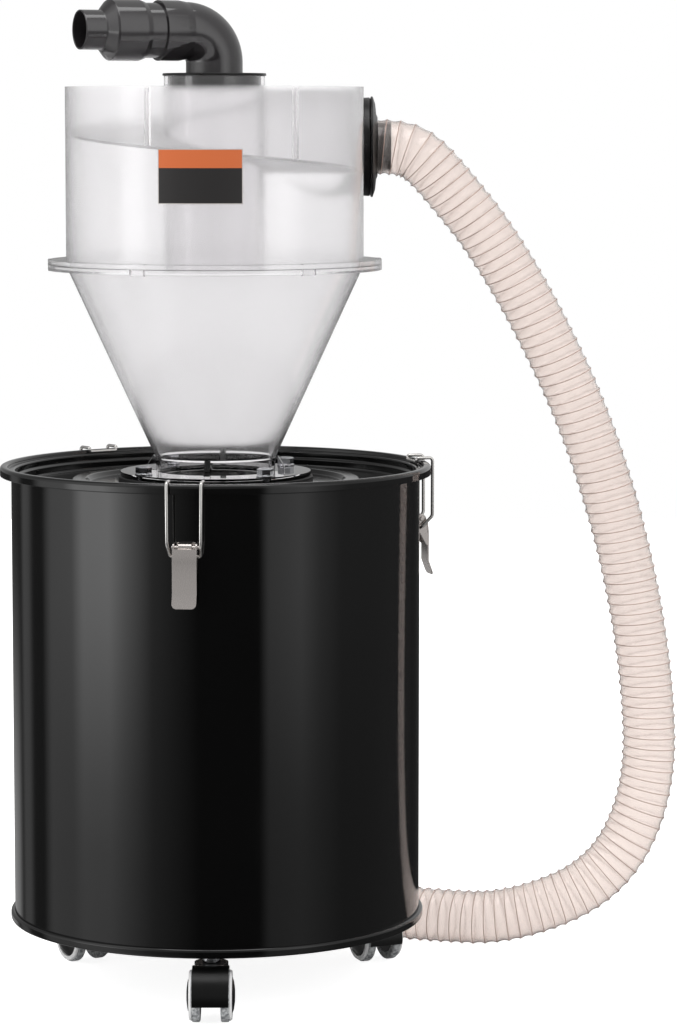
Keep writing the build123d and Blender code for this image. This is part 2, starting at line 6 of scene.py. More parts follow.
import bmesh
import bpy
from mathutils import Matrix, Vector


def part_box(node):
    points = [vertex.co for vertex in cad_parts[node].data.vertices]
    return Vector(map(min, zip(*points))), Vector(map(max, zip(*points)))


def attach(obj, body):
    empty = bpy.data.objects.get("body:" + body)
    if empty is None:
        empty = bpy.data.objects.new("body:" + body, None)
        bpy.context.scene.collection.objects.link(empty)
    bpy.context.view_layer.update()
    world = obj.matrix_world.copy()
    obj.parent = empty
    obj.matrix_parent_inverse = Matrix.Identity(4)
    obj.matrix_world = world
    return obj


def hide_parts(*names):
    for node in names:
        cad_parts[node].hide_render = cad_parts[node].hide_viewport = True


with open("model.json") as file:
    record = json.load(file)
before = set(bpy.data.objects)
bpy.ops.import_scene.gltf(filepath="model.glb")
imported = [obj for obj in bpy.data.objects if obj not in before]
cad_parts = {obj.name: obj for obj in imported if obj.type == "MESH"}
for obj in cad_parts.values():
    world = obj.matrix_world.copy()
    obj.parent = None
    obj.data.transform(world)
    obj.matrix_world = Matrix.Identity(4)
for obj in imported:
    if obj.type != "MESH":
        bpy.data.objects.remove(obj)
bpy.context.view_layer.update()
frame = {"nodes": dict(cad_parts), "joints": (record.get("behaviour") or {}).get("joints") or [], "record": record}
MM = 0.001

# The camera stands where the photograph was taken: three and a half metres off, at the height
# of the cyclone's roof, with a long lens tipped a little down. Pixels are of the 677 x 1024 photograph.
PHOTO_ROWS = 1024
FOCAL_ROWS = 3700
SENSOR = 36.0
lens = bpy.data.cameras.new("camera")
lens.sensor_fit = "VERTICAL"
lens.sensor_height = SENSOR
lens.lens = FOCAL_ROWS / PHOTO_ROWS * SENSOR
camera = bpy.data.objects.new("camera", lens)
camera.location = (0.1144, -3.4335, 0.8055)
camera.rotation_euler = (math.radians(90 - 6.08), 0, 0)
bpy.context.collection.objects.link(camera)
bpy.context.scene.camera = camera


# The drum's shell is a sheet of steel rolled into a cylinder, with its mouth turned out, sprayed
# with black gloss enamel and baked. The enamel gives clear reflections with a faint orange peel.
def linear(code):
    """An sRGB hex colour as linear red, green, blue and alpha."""
    parts = [int(code[i : i + 2], 16) / 255 for i in (1, 3, 5)]
    return [p / 12.92 if p <= 0.04045 else ((p + 0.055) / 1.055) ** 2.4 for p in parts] + [1.0]


def add(tree, kind, settings=(), links=()):
    """One node with its settings, and the links into its sockets as (socket, node, output)."""
    made = tree.nodes.new(kind)
    for key, value in dict(settings).items():
        if key in made.inputs:
            made.inputs[key].default_value = value
        else:
            setattr(made, key, value)
    for socket, source, output in links:
        tree.links.new(source.outputs[output], made.inputs[socket])
    return made


def finish(name, colour, **settings):
    """A new material with its shader, and the tree to draw on."""
    made = bpy.data.materials.new(name)
    made.use_nodes = True
    shader = made.node_tree.nodes["Principled BSDF"]
    shader.inputs["Base Color"].default_value = linear(colour)
    for key, value in settings.items():
        shader.inputs[key.replace("_", " ")].default_value = value
    return made, made.node_tree, shader


def softened(corners, steps=5):
    """The points of an outline or a path with each corner turned into an arc of its own radius."""
    points = []
    count = len(corners)
    for i, (*place, radius) in enumerate(corners):
        here = Vector(place)
        if radius == 0:
            points.append(here)
            continue
        back = (Vector(corners[i - 1][:-1]) - here).normalized()
        on = (Vector(corners[(i + 1) % count][:-1]) - here).normalized()
        half = back.angle(on) / 2
        reach = radius / math.tan(half)
        centre = here + (back + on).normalized() * radius / math.sin(half)
        start = here + back * reach - centre
        end = here + on * reach - centre
        whole = start.angle(end)
        for k in range(steps + 1):
            t = k / steps
            turned_by = start * math.sin((1 - t) * whole) + end * math.sin(t * whole)
            points.append(centre + turned_by / math.sin(whole))
    return points


def built(name, mesh, material, body, replaced, sharp=40):
    """A finished piece: one object at the origin, smooth but for its sharp edges, riding on its body."""
    piece = bpy.data.objects.new(name, mesh)
    bpy.context.collection.objects.link(piece)
    mesh.polygons.foreach_set("use_smooth", [True] * len(mesh.polygons))
    mesh.set_sharp_from_angle(angle=math.radians(sharp))
    if material:
        mesh.materials.clear()
        mesh.materials.append(material)
    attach(piece, body)
    if replaced:
        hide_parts(*replaced)
    return piece


HOLD = 0.6


def turned(name, outline, place=Matrix(), around=192):
    """A mesh turned about Z from a closed outline of (radius, height, corner radius) in millimetres.
    Rings close to each corner keep the long faces flat in the light."""
    corners = softened(outline)
    ring = []
    for here, on in zip(corners, corners[1:] + corners[:1]):
        held = [here]
        if (on - here).length > 4 * HOLD:
            step = (on - here).normalized() * HOLD
            held += [here + step, on - step]
        ring += [(p.x * MM, p.y * MM) for p in held]
    work = bmesh.new()
    rows = []
    for k in range(around):
        a = 2 * math.pi * k / around
        rows.append([work.verts.new((r * math.cos(a), r * math.sin(a), z)) for r, z in ring])
    for k in range(around):
        one, two = rows[k], rows[(k + 1) % around]
        for i in range(len(ring)):
            j = (i + 1) % len(ring)
            work.faces.new((one[i], two[i], two[j], one[j]))
    bmesh.ops.remove_doubles(work, verts=work.verts, dist=1e-7)
    bmesh.ops.dissolve_degenerate(work, edges=work.edges, dist=1e-7)
    bmesh.ops.recalc_face_normals(work, faces=work.faces)
    bmesh.ops.transform(work, matrix=place, verts=work.verts)
    mesh = bpy.data.meshes.new(name)
    work.to_mesh(mesh)
    work.free()
    return mesh


enamel, tree, shader = finish("black_gloss_enamel", "#060606", Roughness=0.08)
coords = add(tree, "ShaderNodeTexCoord")
PEEL = 2.4 * MM
peel = add(tree, "ShaderNodeTexNoise", {"Scale": 1 / PEEL, "Detail": 2.0}, [("Vector", coords, "Object")])
bump = add(tree, "ShaderNodeBump", {"Strength": 0.012, "Distance": 0.0004}, [("Height", peel, "Fac")])
tree.links.new(bump.outputs["Normal"], shader.inputs["Normal"])
haze = add(tree, "ShaderNodeTexNoise", {"Scale": 9.0, "Detail": 3.0}, [("Vector", coords, "Object")])
gloss = add(
    tree,
    "ShaderNodeMapRange",
    {"From Min": 0.3, "From Max": 0.7, "To Min": 0.06, "To Max": 0.11},
    [("Value", haze, "Fac")],
)
tree.links.new(gloss.outputs["Result"], shader.inputs["Roughness"])

DRUM_R = 190.0
BASE_Z = 59.0
RIM_TOP = 485.0
SHEET = 1.0
CURL_TOP = RIM_TOP - 5.5
shell = turned(
    "drum_wall",
    [
        (DRUM_R - SHEET, BASE_Z + 1.3, 0),
        (DRUM_R, BASE_Z + 1.3, 0),
        (DRUM_R, CURL_TOP - 3.0, 1.2),
        (DRUM_R + 9.2, CURL_TOP - 3.0, 1.2),
        (DRUM_R + 9.2, CURL_TOP, 1.2),
        (DRUM_R - SHEET, CURL_TOP, 0.4),
    ],
    around=288,
)
drum_wall = built("drum_wall", shell, enamel, "separator", ["drum_shell"])

# The drum's base is a pressed panel, folded round the foot of the shell into a chime that
# stands a little proud all round, and painted with the shell.
CHIME_H = 8.5
CHIME_TOP = BASE_Z + CHIME_H
CHIME_R = DRUM_R + 3.7
PANEL_Z = BASE_Z + 5.0
base = turned(
    "drum_foot",
    [
        (0, PANEL_Z, 0),
        (DRUM_R - 3.3, PANEL_Z, 1.5),
        (DRUM_R - 3.3, BASE_Z, 1.0),
        (CHIME_R, BASE_Z, 2.4),
        (CHIME_R, CHIME_TOP, 2.4),
        (DRUM_R + 0.3, CHIME_TOP, 0),
        (DRUM_R + 0.3, BASE_Z + SHEET, 0),
        (DRUM_R - 1.3, BASE_Z + SHEET, 0),
        (DRUM_R - 1.3, PANEL_Z + SHEET, 0),
        (0, PANEL_Z + SHEET, 0),
    ],
    around=288,
)
drum_foot = built("drum_foot", base, enamel, "separator", ["drum_base"])

# The lid is pressed from one disc: a bead over the drum's mouth with a ledge inside it, a sunk channel,
# a raised stiffening ring and a flat panel with the dust hole. A rubber seal sits inside the bead.
RIM_R = DRUM_R + 10.5
RIM_IN = DRUM_R - 4.0
BEAD_IN = RIM_R - 7.5
LEDGE = RIM_TOP - 3.5
CHANNEL = RIM_TOP - 18.8
PANEL = RIM_TOP - 16.5
RING = PANEL + 4.0
HOLE_R = 54.0
pressing = turned(
    "lid_pressing",
    [
        (RIM_R, RIM_TOP - 9.0, 0.4),
        (RIM_R, RIM_TOP, 3.0),
        (BEAD_IN, RIM_TOP, 2.4),
        (BEAD_IN, LEDGE, 0.8),
        (RIM_IN, LEDGE, 1.6),
        (RIM_IN, CHANNEL + 9.0, 1.0),
        (RIM_IN - 2.0, CHANNEL + 7.5, 1.0),
        (RIM_IN - 2.0, CHANNEL, 2.4),
        (136.5, CHANNEL, 2.0),
        (133.5, RING, 2.0),
        (120.5, RING, 2.0),
        (117.5, PANEL, 2.0),
        (HOLE_R, PANEL, 0),
        (HOLE_R, PANEL - SHEET, 0),
        (118.2, PANEL - SHEET, 1.0),
        (121.2, RING - SHEET, 1.0),
        (132.8, RING - SHEET, 1.0),
        (135.8, CHANNEL - SHEET, 1.0),
        (RIM_IN + SHEET, CHANNEL - SHEET, 2.0),
        (RIM_IN + SHEET, LEDGE - SHEET, 0.6),
        (BEAD_IN + SHEET, LEDGE - SHEET, 0.4),
        (BEAD_IN + SHEET, RIM_TOP - SHEET, 1.4),
        (RIM_R - SHEET, RIM_TOP - SHEET, 2.0),
        (RIM_R - SHEET, RIM_TOP - 9.0, 0),
    ],
    around=288,
)
lid_pressing = built("lid_pressing", pressing, enamel, "separator", ["drum_lid"])

# Moulded rubber is matt, with a faint grey bloom.
rubber, tree, shader = finish("black_rubber", "#121213", Roughness=0.55)
coords = add(tree, "ShaderNodeTexCoord")
GRAIN = 0.8 * MM
grain = add(tree, "ShaderNodeTexNoise", {"Scale": 1 / GRAIN, "Detail": 3.0}, [("Vector", coords, "Object")])
bump = add(tree, "ShaderNodeBump", {"Strength": 0.08, "Distance": 0.0003}, [("Height", grain, "Fac")])
tree.links.new(bump.outputs["Normal"], shader.inputs["Normal"])
bloom = add(tree, "ShaderNodeTexNoise", {"Scale": 40.0, "Detail": 3.0}, [("Vector", coords, "Object")])
greys = add(tree, "ShaderNodeMix", {"data_type": "RGBA"}, [("Factor", bloom, "Fac")])
greys.inputs["A"].default_value = linear("#0d0d0e")
greys.inputs["B"].default_value = linear("#1b1b1c")
tree.links.new(greys.outputs["Result"], shader.inputs["Base Color"])
seal = turned(
    "rim_seal",
    [
        (BEAD_IN + 2.5, CURL_TOP, 0.5),
        (RIM_R - 2.5, CURL_TOP, 0.5),
        (RIM_R - 2.5, RIM_TOP - SHEET, 0.5),
        (BEAD_IN + 2.5, RIM_TOP - SHEET, 0.5),
    ],
)
rim_seal = built("rim_seal", seal, rubber, "separator", ["lid_seal"])

# Three hooded twin-wheel castors. The hood is moulded nylon; each wheel has a grey soft tread,
# a silver trim ring and a black domed cap. The steel stem and its nut hold the castor in the base.
# The nylon has the soft, uneven sheen of a spark-eroded mould.
nylon, tree, shader = finish("moulded_black_nylon", "#080808", Roughness=0.42)
shader.inputs["Specular IOR Level"].default_value = 0.3
coords = add(tree, "ShaderNodeTexCoord")
SPARK = 0.7 * MM
spark = add(tree, "ShaderNodeTexNoise", {"Scale": 1 / SPARK, "Detail": 2.0}, [("Vector", coords, "Object")])
bump = add(tree, "ShaderNodeBump", {"Strength": 0.06, "Distance": 0.0002}, [("Height", spark, "Fac")])
tree.links.new(bump.outputs["Normal"], shader.inputs["Normal"])
worn = add(tree, "ShaderNodeTexNoise", {"Scale": 60.0, "Detail": 2.0}, [("Vector", coords, "Object")])
gloss = add(tree, "ShaderNodeMapRange", {"To Min": 0.25, "To Max": 0.42}, [("Value", worn, "Fac")])
tree.links.new(gloss.outputs["Result"], shader.inputs["Roughness"])

# The tread is matt and mottled in two greys.
tread, tree, shader = finish("grey_soft_tread", "#7b7d80", Roughness=0.6)
coords = add(tree, "ShaderNodeTexCoord")
MOTTLE = 3.0 * MM
mottle = add(tree, "ShaderNodeTexNoise", {"Scale": 1 / MOTTLE, "Detail": 4.0}, [("Vector", coords, "Object")])
greys = add(tree, "ShaderNodeValToRGB", {}, [("Fac", mottle, "Fac")])
greys.color_ramp.elements[0].position = 0.38
greys.color_ramp.elements[0].color = linear("#77797c")
greys.color_ramp.elements[1].position = 0.62
greys.color_ramp.elements[1].color = linear("#c6c8c9")
tree.links.new(greys.outputs["Color"], shader.inputs["Base Color"])
bump = add(tree, "ShaderNodeBump", {"Strength": 0.1, "Distance": 0.0003}, [("Height", mottle, "Fac")])
tree.links.new(bump.outputs["Normal"], shader.inputs["Normal"])

# The trim is pale paint with a fine flake in its sheen.
silver, tree, shader = finish("silver_trim_paint", "#f2f2f2", Roughness=0.32, Metallic=0.05)
coords = add(tree, "ShaderNodeTexCoord")
FLAKE = 0.5 * MM
flake = add(tree, "ShaderNodeTexVoronoi", {"Scale": 1 / FLAKE}, [("Vector", coords, "Object")])
gloss = add(tree, "ShaderNodeMapRange", {"To Min": 0.26, "To Max": 0.4}, [("Value", flake, "Distance")])
tree.links.new(gloss.outputs["Result"], shader.inputs["Roughness"])

# Zinc plate is a bright, cool mirror with softer patches.
zinc, tree, shader = finish("zinc_plated_steel", "#bcbdc0", Roughness=0.12, Metallic=1.0)
coords = add(tree, "ShaderNodeTexCoord")
SPANGLE = 1.5 * MM
spangle = add(
    tree, "ShaderNodeTexNoise", {"Scale": 1 / SPANGLE, "Detail": 3.0}, [("Vector", coords, "Object")]
)
gloss = add(tree, "ShaderNodeMapRange", {"To Min": 0.06, "To Max": 0.18}, [("Value", spangle, "Fac")])
tree.links.new(gloss.outputs["Result"], shader.inputs["Roughness"])


def eased(node, material, edge, body):
    """A CAD piece with its edges eased: its mesh copied, merged, cleared of flat edges and bevelled."""
    work = bmesh.new()
    work.from_mesh(frame["nodes"][node].data)
    bmesh.ops.remove_doubles(work, verts=work.verts, dist=1e-6)
    flat = math.radians(1.0)
    bmesh.ops.dissolve_limit(work, angle_limit=flat, verts=work.verts, edges=work.edges)
    mesh = bpy.data.meshes.new(node + "_eased")
    work.to_mesh(mesh)
    work.free()
    piece = built(node + "_eased", mesh, material, body, [node], sharp=30)
    bevel = piece.modifiers.new("eased", "BEVEL")
    bevel.width = edge * MM
    bevel.segments = 3
    bevel.limit_method = "ANGLE"
    bevel.angle_limit = math.radians(35)
    bevel.harden_normals = True
    return piece


WHEEL_R = 24.0
TREAD_IN = 17.3
TREAD_NEAR = 9.2
TREAD_FAR = 17.0
TRIM_IN = 18.5
TRIM_FAR = 19.4
CAP_R = 18.2
CAP_FAR = 21.8
HUB_R = 5.0
HUB_NEAR = 6.0
BORE_R = 2.55
BORE_END = 16.8
joints = {j["name"]: j for j in frame["joints"]}
for side in ("front", "left", "right"):
    eased("castor_hood_" + side, nylon, 0.9, "castor_" + side)
    frame["nodes"]["castor_axle_" + side].data.materials[0] = zinc
    for hand, outward in (("a", 1), ("b", -1)):
        joint = joints["wheel_spin_" + side + "_" + hand]
        axle = Vector(joint["axis"]) * outward
        turn = Vector((0, 0, 1)).rotation_difference(axle).to_matrix().to_4x4()
        place = Matrix.Translation(joint["pos_m"]) @ turn
        wheel = side + "_" + hand
        soft = turned(
            "tread_" + wheel,
            [
                (TREAD_IN, TREAD_NEAR, 0.3),
                (WHEEL_R, TREAD_NEAR, 1.6),
                (WHEEL_R, TREAD_FAR, 1.6),
                (TREAD_IN, TREAD_FAR, 0.3),
            ],
            place,
            around=96,
        )
        piece = built("tread_" + wheel, soft, tread, "wheel_" + wheel, ["castor_tyre_" + wheel])
        ring = turned(
            "trim_" + wheel,
            [
                (TRIM_IN, TREAD_FAR, 0),
                (23.2, TREAD_FAR, 0.5),
                (21.8, TRIM_FAR, 0.9),
                (TRIM_IN, TRIM_FAR, 0.3),
            ],
            place,
            around=96,
        )
        piece = built("trim_" + wheel, ring, silver, "wheel_" + wheel, ["castor_trim_" + wheel])
        cap = turned(
            "cap_" + wheel,
            [
                (BORE_R, HUB_NEAR, 0),
                (HUB_R, HUB_NEAR, 0.4),
                (HUB_R, 9.4, 0.4),
                (17.0, 9.4, 0.5),
                (17.0, 16.9, 0),
                (CAP_R, TREAD_FAR, 0),
                (CAP_R, 18.4, 1.2),
                (13.0, 20.8, 9.0),
                (6.0, 21.7, 3.0),
                (0, CAP_FAR, 0),
                (0, BORE_END, 0),
                (BORE_R, BORE_END, 0),
            ],
            place,
            around=96,
        )
        piece = built("cap_" + wheel, cap, nylon, "wheel_" + wheel, ["castor_wheel_" + wheel])


def joined(name, *meshes):
    """Several meshes as one."""
    work = bmesh.new()
    for mesh in meshes:
        work.from_mesh(mesh)
    whole = bpy.data.meshes.new(name)
    work.to_mesh(whole)
    work.free()
    return whole


round_a_circle = bpy.data.node_groups.new("set_round_a_circle", "GeometryNodeTree")
for label, kind in (
    ("Fastener", "NodeSocketGeometry"),
    ("Count", "NodeSocketInt"),
    ("Radius", "NodeSocketFloat"),
    ("Turn", "NodeSocketFloat"),
    ("Finish", "NodeSocketMaterial"),
):
    round_a_circle.interface.new_socket(label, in_out="INPUT", socket_type=kind)
round_a_circle.interface.new_socket("Set", in_out="OUTPUT", socket_type="NodeSocketGeometry")
given = add(round_a_circle, "NodeGroupInput")
spots = add(
    round_a_circle,
    "GeometryNodeMeshCircle",
    {},
    [("Vertices", given, "Count"), ("Radius", given, "Radius")],
)
spin = add(round_a_circle, "FunctionNodeRandomValue", {"data_type": "FLOAT", "Max": 2 * math.pi, "Seed": 7})
tightened = add(round_a_circle, "ShaderNodeCombineXYZ", {}, [("Z", spin, "Value")])
copies = add(
    round_a_circle,
    "GeometryNodeInstanceOnPoints",
    {},
    [("Points", spots, "Mesh"), ("Instance", given, "Fastener"), ("Rotation", tightened, "Vector")],
)
start = add(round_a_circle, "ShaderNodeCombineXYZ", {}, [("Z", given, "Turn")])
placed = add(
    round_a_circle,
    "GeometryNodeTransform",
    {},
    [("Geometry", copies, "Instances"), ("Rotation", start, "Vector")],
)
real = add(round_a_circle, "GeometryNodeRealizeInstances", {}, [("Geometry", placed, "Geometry")])
coated = add(
    round_a_circle,
    "GeometryNodeSetMaterial",
    {},
    [("Geometry", real, "Geometry"), ("Material", given, "Finish")],
)
add(round_a_circle, "NodeGroupOutput", {}, [("Set", coated, "Geometry")])


def set_round(name, mesh, count, radius, degrees, material, node):
    """Copies of one fastener round a circle about the drum's axis, as one plain mesh in the node's place."""
    holder = bpy.data.objects.new(name + "_holder", mesh)
    bpy.context.collection.objects.link(holder)
    sizes = holder.modifiers.new("set", "NODES")
    sizes.node_group = round_a_circle
    sockets = {i.name: i.identifier for i in round_a_circle.interface.items_tree if i.in_out == "INPUT"}
    sizes[sockets["Count"]] = count
    sizes[sockets["Radius"]] = radius * MM
    sizes[sockets["Turn"]] = math.radians(degrees)
    sizes[sockets["Finish"]] = material
    state = bpy.context.evaluated_depsgraph_get()
    plain = bpy.data.meshes.new_from_object(holder.evaluated_get(state), depsgraph=state)
    bpy.data.objects.remove(holder)
    piece = built(name, plain, None, "separator", [node], sharp=32)


CASTOR_RING = 163.0
COLLAR_TOP = BASE_Z - 9.0
SHANK_R = 4.0
HEX_R = 7.5
shank = turned(
    "castor_shank",
    [
        (0, COLLAR_TOP - 22.0, 0),
        (SHANK_R, COLLAR_TOP - 22.0, 0.6),
        (SHANK_R, COLLAR_TOP + 0.3, 0),
        (8.0, COLLAR_TOP + 0.3, 0.6),
        (8.0, PANEL_Z, 0.4),
        (SHANK_R, PANEL_Z, 0),
        (SHANK_R, PANEL_Z + 10.0, 0.6),
        (0, PANEL_Z + 10.0, 0),
    ],
    around=40,
)
set_round("castor_shanks", shank, 3, CASTOR_RING, 270, zinc, "castor_stems")
nut = turned(
    "castor_hex_nut",
    [
        (SHANK_R + 0.7, PANEL_Z + SHEET, 0.2),
        (HEX_R, PANEL_Z + SHEET, 0.9),
        (HEX_R, PANEL_Z + SHEET + 6.5, 0.9),
        (SHANK_R + 0.7, PANEL_Z + SHEET + 6.5, 0.2),
    ],
    around=6,
)
set_round("castor_hex_nuts", nut, 3, CASTOR_RING, 270, zinc, "castor_nuts")

# Three toggle latches of polished stainless steel: a bracket spot-welded to the shell, a pressed
# lever on a pin, and a sprung wire bail that hooks over the lid's rim.
# The sheet is polished along its length, which leaves fine scratches and a warm grey.
stainless, tree, shader = finish("polished_stainless", "#dcd5d1", Roughness=0.3, Metallic=1.0)
coords = add(tree, "ShaderNodeTexCoord")
SCRATCH = 0.6 * MM
SCRATCH_RUN = 40.0 * MM
fine = (1 / SCRATCH, 1 / SCRATCH, 1 / SCRATCH_RUN)
along = add(tree, "ShaderNodeMapping", {"Scale": fine}, [("Vector", coords, "Object")])
scratch = add(tree, "ShaderNodeTexNoise", {"Scale": 1.0, "Detail": 3.0}, [("Vector", along, "Vector")])
gloss = add(tree, "ShaderNodeMapRange", {"To Min": 0.18, "To Max": 0.34}, [("Value", scratch, "Fac")])
tree.links.new(gloss.outputs["Result"], shader.inputs["Roughness"])

# Drawn spring wire is brighter and smoother than the sheet.
bright_wire, tree, shader = finish("drawn_spring_wire", "#e2e0dd", Roughness=0.16, Metallic=1.0)
coords = add(tree, "ShaderNodeTexCoord")
die = add(tree, "ShaderNodeTexNoise", {"Scale": 600.0, "Detail": 2.0}, [("Vector", coords, "Object")])
gloss = add(tree, "ShaderNodeMapRange", {"To Min": 0.1, "To Max": 0.24}, [("Value", die, "Fac")])
tree.links.new(gloss.outputs["Result"], shader.inputs["Roughness"])


def drawn(name, points, radius, sides=14):
    """A round wire or pipe swept along points in metres, with its ends capped."""
    work = bmesh.new()
    across = Vector((0, 0, 1)).cross(points[1] - points[0])
    if across.length < 1e-6:
        across = Vector((1, 0, 0))
    across.normalize()
    rows = []
    for i, point in enumerate(points):
        heading = (points[min(i + 1, len(points) - 1)] - points[max(i - 1, 0)]).normalized()
        across = (across - heading * across.dot(heading)).normalized()
        up = heading.cross(across)
        spokes = [2 * math.pi * k / sides for k in range(sides)]
        spread = [(across * math.cos(a) + up * math.sin(a)) * radius for a in spokes]
        rows.append([work.verts.new(point + reach) for reach in spread])
    for one, two in zip(rows, rows[1:]):
        for k in range(sides):
            work.faces.new((one[k], one[(k + 1) % sides], two[(k + 1) % sides], two[k]))
    work.faces.new(rows[0])
    work.faces.new(rows[-1])
    bmesh.ops.recalc_face_normals(work, faces=work.faces)
    mesh = bpy.data.meshes.new(name)
    work.to_mesh(mesh)
    work.free()
    return mesh


WIRE_R = 1.5
LEG_R = RIM_R + WIRE_R + 4.0
CROSS_R = BEAD_IN - WIRE_R - 0.9
CROSS_Z = LEDGE + WIRE_R + 0.3
HOOK_Z = RIM_TOP + WIRE_R + 0.6
EYE_HALF = 9.6
HOOK_HALF = 15.4
for side in ("front", "left", "right"):
    eased("latch_bracket_" + side, stainless, 0.4, "separator")
    eased("latch_lever_" + side, stainless, 0.4, "lever_" + side)
    pivot = Vector(joints["bail_swing_" + side]["pos_m"])
    tangent = Vector(joints["bail_swing_" + side]["axis"])
    outward = Vector((pivot.x, pivot.y, 0)).normalized()
    pivot_r = pivot.to_2d().length / MM
    pivot_z = pivot.z / MM
    half = [
        (pivot_r, EYE_HALF, pivot_z, 0),
        (pivot_r, 13.8, pivot_z, 2.4),
        (LEG_R, 15.0, pivot_z + 11.0, 6.0),
        (LEG_R, HOOK_HALF, HOOK_Z, 3.2),
        (CROSS_R, HOOK_HALF, HOOK_Z, 1.7),
        (CROSS_R, HOOK_HALF, CROSS_Z, 1.7),
    ]
    whole = half + [(r, -t, z, c) for r, t, z, c in reversed(half)]
    corners = [(*((outward * r + tangent * t) * MM + Vector((0, 0, z * MM))), c * MM) for r, t, z, c in whole]
    sprung = drawn("bail_wire_" + side, softened(corners), WIRE_R * MM)
    wire = built("bail_wire_" + side, sprung, bright_wire, "bail_" + side, ["latch_bail_" + side])
eased("latch_pins", stainless, 0.4, "separator")

# The cyclone stands on the lid on a black rubber gasket, and is held down by four zinc-plated
# hex flange screws with nuts under the lid.
BOLT_R = 80.0
GASKET_TOP = PANEL + 6.0
FOOT_TOP = GASKET_TOP + 4.5
pad = turned(
    "foot_gasket",
    [
        (HOLE_R, PANEL, 0.3),
        (BOLT_R + 10.5, PANEL, 0.6),
        (BOLT_R + 10.5, GASKET_TOP, 1.0),
        (HOLE_R, GASKET_TOP, 0.3),
    ],
)
foot_gasket = built("foot_gasket", pad, rubber, "separator", ["neck_gasket"])
NUT_TOP = PANEL - SHEET
stud = turned(
    "neck_stud",
    [
        (0, NUT_TOP - 15.0, 0),
        (SHANK_R, NUT_TOP - 15.0, 0.6),
        (SHANK_R, FOOT_TOP, 0),
        (8.0, FOOT_TOP, 0.3),
        (8.0, FOOT_TOP + 1.2, 0.5),
        (6.9, FOOT_TOP + 2.2, 0.4),
        (0, FOOT_TOP + 2.2, 0),
    ],
    around=40,
)
head = turned(
    "neck_hex_head",
    [
        (0, FOOT_TOP + 2.0, 0),
        (HEX_R, FOOT_TOP + 2.0, 0),
        (HEX_R, FOOT_TOP + 7.6, 1.0),
        (5.6, FOOT_TOP + 8.2, 0.3),
        (4.6, FOOT_TOP + 8.2, 0.3),
        (4.0, FOOT_TOP + 6.6, 0.3),
        (0, FOOT_TOP + 6.6, 0),
    ],
    around=6,
)
set_round("neck_hex_screws", joined("neck_screw", stud, head), 4, BOLT_R, 36, zinc, "neck_screws")
nut = turned(
    "neck_hex_nut",
    [
        (SHANK_R + 0.7, NUT_TOP - 6.5, 0.2),
        (HEX_R, NUT_TOP - 6.5, 0.9),
        (HEX_R, NUT_TOP, 0.9),
        (SHANK_R + 0.7, NUT_TOP, 0.2),
    ],
    around=6,
)
set_round("neck_hex_nuts", nut, 4, BOLT_R, 36, zinc, "neck_nuts")

# The cone is injection moulded in clear polycarbonate, lightly hazed: a foot flange with four
# gussets, a straight neck, the cone, and a notched flange on top. The chamber and its ribs are moulded
# alike. The haze sets in above the neck, and the tube's mouth above the chamber is clear again.
clear, tree, shader = finish(
    "clear_polycarbonate", "#fefdfe", Roughness=0.15, Transmission_Weight=0.92, IOR=1.49
)
shader.inputs["Specular IOR Level"].default_value = 0.4
coords = add(tree, "ShaderNodeTexCoord")
FLOW = 60.0 * MM
flow = add(tree, "ShaderNodeTexNoise", {"Scale": 1 / FLOW, "Detail": 2.0}, [("Vector", coords, "Object")])
gloss = add(tree, "ShaderNodeMapRange", {"To Min": 0.11, "To Max": 0.2}, [("Value", flow, "Fac")])
split = add(tree, "ShaderNodeSeparateXYZ", {}, [("Vector", coords, "Object")])
NECK_TOP = (FOOT_TOP + 12.0) * MM
NECK_END = NECK_TOP + 24.0 * MM
hazed = add(tree, "ShaderNodeMapRange", {"From Min": NECK_TOP, "From Max": NECK_END}, [("Value", split, "Z")])
ROOF_LINE = 834.0 * MM
MOUTH_LOW = 837.0 * MM
MOUTH = {"From Min": ROOF_LINE, "From Max": MOUTH_LOW, "To Min": 1.0, "To Max": 0.0}
mouth = add(tree, "ShaderNodeMapRange", MOUTH, [("Value", split, "Z")])
hazed = add(tree, "ShaderNodeMath", {"operation": "MULTIPLY"}, [(0, hazed, "Result"), (1, mouth, "Result")])
haze = add(tree, "ShaderNodeMath", {"operation": "MULTIPLY"}, [(0, gloss, "Result"), (1, hazed, "Value")])
tree.links.new(haze.outputs["Value"], shader.inputs["Roughness"])
milk = add(tree, "ShaderNodeMapRange", {"To Min": 1.0, "To Max": 0.92}, [("Value", hazed, "Value")])
tree.links.new(milk.outputs["Result"], shader.inputs["Transmission Weight"])
for node in ("cone", "cyclone_chamber", "roof_ribs"):
    frame["nodes"][node].data.materials[0] = clear

# The spiral roof winds once round inside the chamber, under the ribs. It is moulded apart in the
# same plastic, with a frosted face that scatters what is seen through it.
frosted, tree, shader = finish(
    "frosted_polycarbonate", "#fefdfe", Roughness=0.35, Transmission_Weight=0.78, IOR=1.49
)
coords = add(tree, "ShaderNodeTexCoord")
etch = add(tree, "ShaderNodeTexNoise", {"Scale": 1 / FLOW, "Detail": 3.0}, [("Vector", coords, "Object")])
gloss = add(tree, "ShaderNodeMapRange", {"To Min": 0.28, "To Max": 0.42}, [("Value", etch, "Fac")])
tree.links.new(gloss.outputs["Result"], shader.inputs["Roughness"])
frame["nodes"]["spiral_roof"].data.materials[0] = frosted

